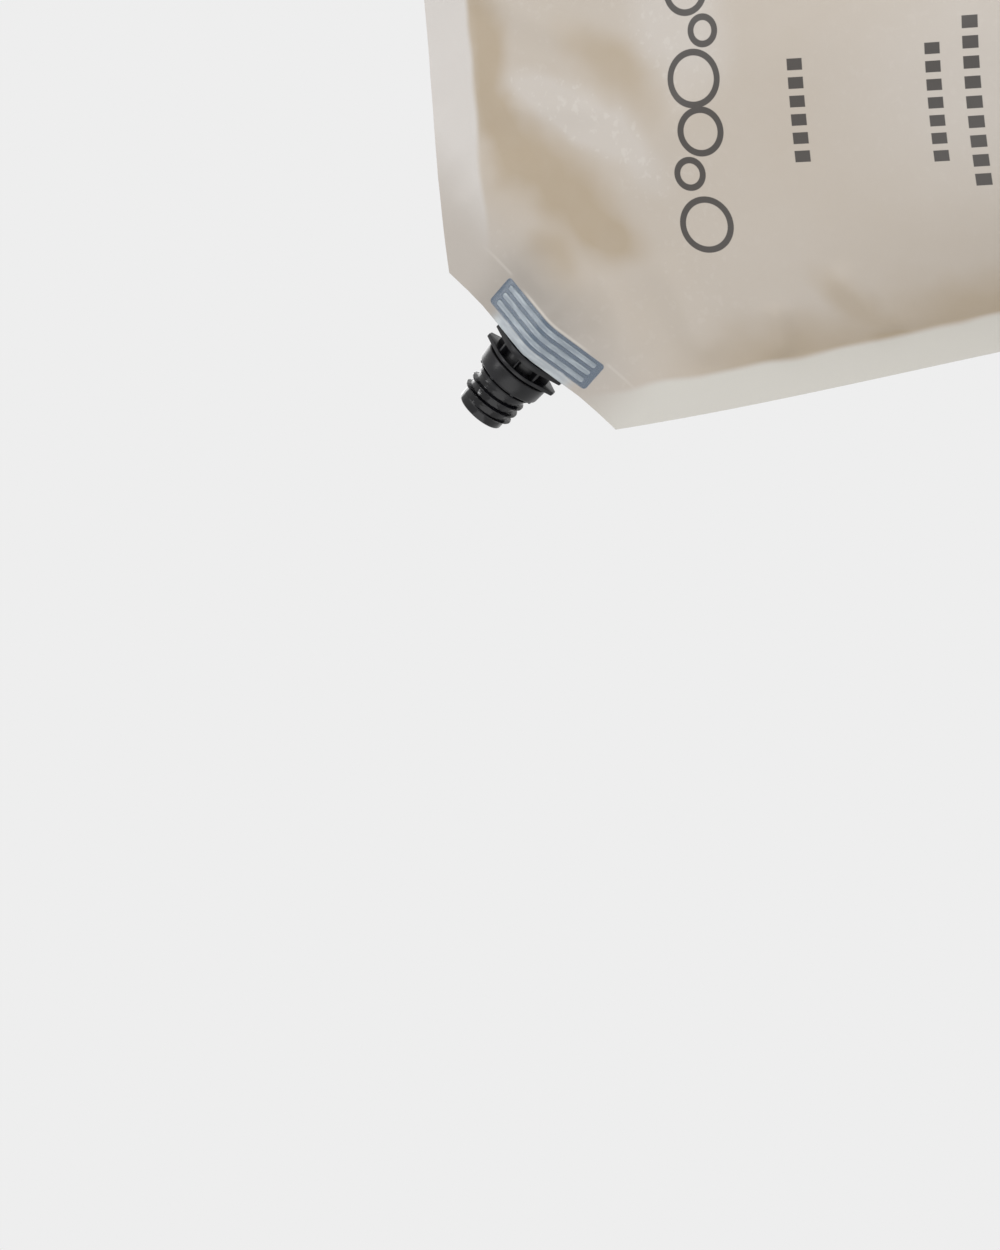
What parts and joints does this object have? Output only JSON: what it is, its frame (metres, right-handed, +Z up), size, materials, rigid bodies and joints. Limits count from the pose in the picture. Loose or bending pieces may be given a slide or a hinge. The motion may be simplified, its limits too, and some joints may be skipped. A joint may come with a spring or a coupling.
{
  "type": "hand soap refill pouch",
  "caption": "Stand-up refill pouch of frosted film for liquid hand soap, with a bottom gusset, heat-sealed edges and an open screw spout welded into a cut corner.",
  "frame": {"origin": "middle of the pouch's base, on the floor under the film's bottom edges", "axes": "+Z up from the bottom gusset to the top seal, -Y out of the printed front, the cut corner with its spout at -X and +Z"},
  "size_m": [0.1794, 0.0746, 0.2823],
  "materials": {
    "frosted_film": "frosted, milky polyethylene film with a soft sheen, heat-sealed at its edges",
    "black_moulding": "black injection-moulded polyethylene with a soft gloss",
    "amber_soap": "pale amber, clear and thick liquid soap"
  },
  "bodies": {
    "root": {"front_panel": "frosted_film", "back_panel": "frosted_film", "bottom_gusset": "frosted_film", "spout": "black_moulding", "tamper_band": "black_moulding", "liquid_soap": "amber_soap"}
  },
  "joints": []
}
